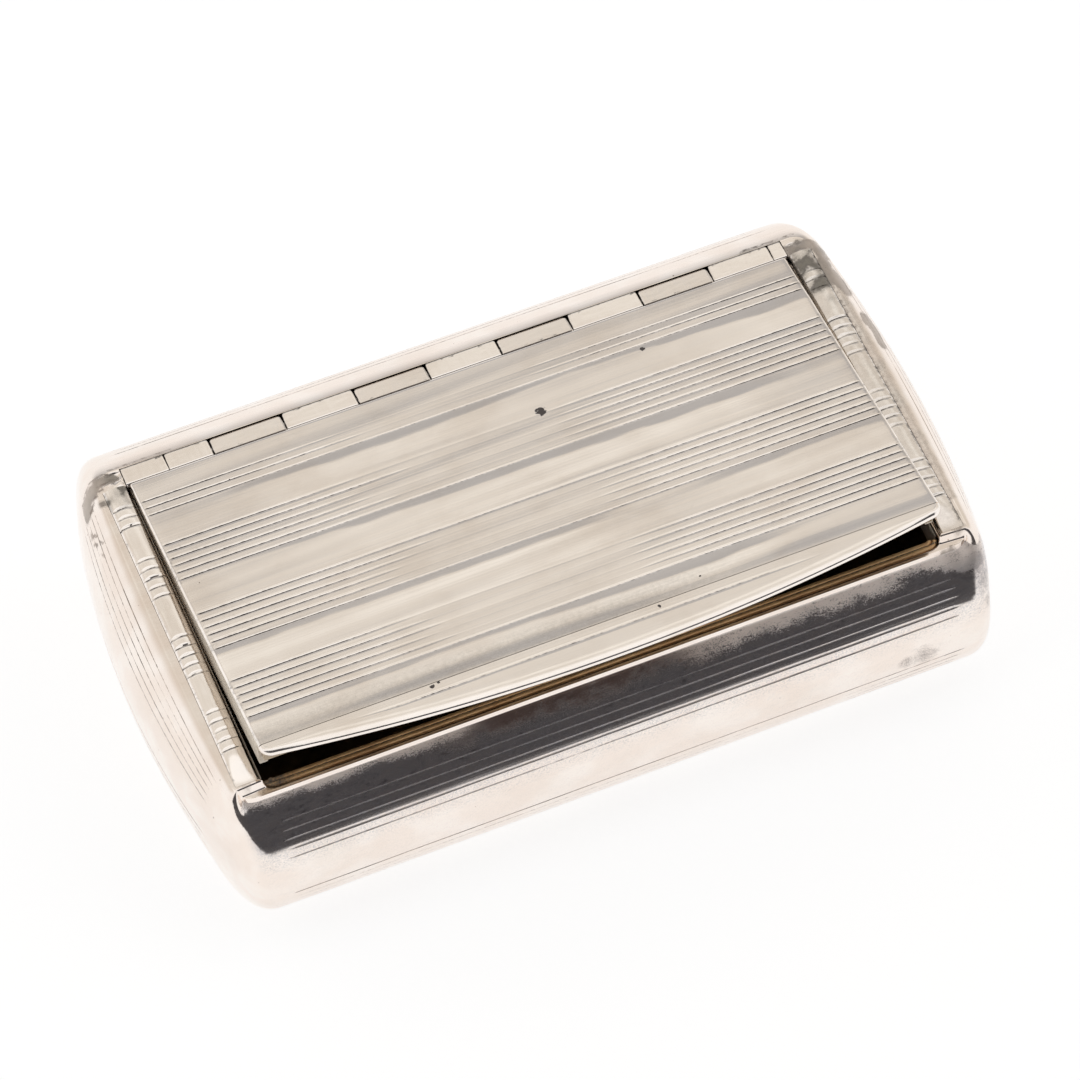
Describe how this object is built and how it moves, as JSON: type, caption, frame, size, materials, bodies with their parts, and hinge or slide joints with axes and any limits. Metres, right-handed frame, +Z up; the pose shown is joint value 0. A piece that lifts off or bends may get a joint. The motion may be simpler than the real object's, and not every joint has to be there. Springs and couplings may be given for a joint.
{
  "type": "snuff box",
  "caption": "Silver snuff box with swelling walls and a reeded lid that stands slightly ajar on a flush knuckle hinge, gilt inside.",
  "frame": {"origin": "centre of the bounding box in plan, at its bottom: the underside of the base plate lies on z = 0", "axes": "+X along the box's long side, +Y from the mouth's front towards the hinge, +Z up"},
  "size_m": [0.08, 0.049, 0.0226],
  "materials": {
    "silver": "polished, worn",
    "moulding_silver": "polished bright",
    "pin_silver": "drawn wire",
    "gilt": "gilt, satin"
  },
  "bodies": {
    "box": {"body_wall": "silver", "base_plate": "silver", "left_top_strip": "silver", "right_top_strip": "silver", "front_bezel": "gilt", "left_bezel": "gilt", "right_bezel": "gilt", "body_hinge_bearer": "gilt", "hinge_pin": "pin_silver", "left_pin_plug": "silver", "right_pin_plug": "silver", "body_knuckle_1": "silver", "body_knuckle_2": "silver", "body_knuckle_3": "silver", "body_knuckle_4": "silver", "body_knuckle_5": "silver"},
    "lid": {"lid_plate": "silver", "lid_front_moulding": "moulding_silver", "lid_front_flange": "gilt", "lid_left_flange": "gilt", "lid_right_flange": "gilt", "lid_hinge_bearer": "gilt", "lid_knuckle_1": "silver", "lid_knuckle_2": "silver", "lid_knuckle_3": "silver", "lid_knuckle_4": "silver"}
  },
  "joints": [
    {"name": "lid_hinge", "type": "hinge", "parent": "box", "child": "lid", "pos_m": [0, 0.01741, 0.01645], "axis": [-1, 0, 0], "range_deg": [-8, 90]}
  ]
}
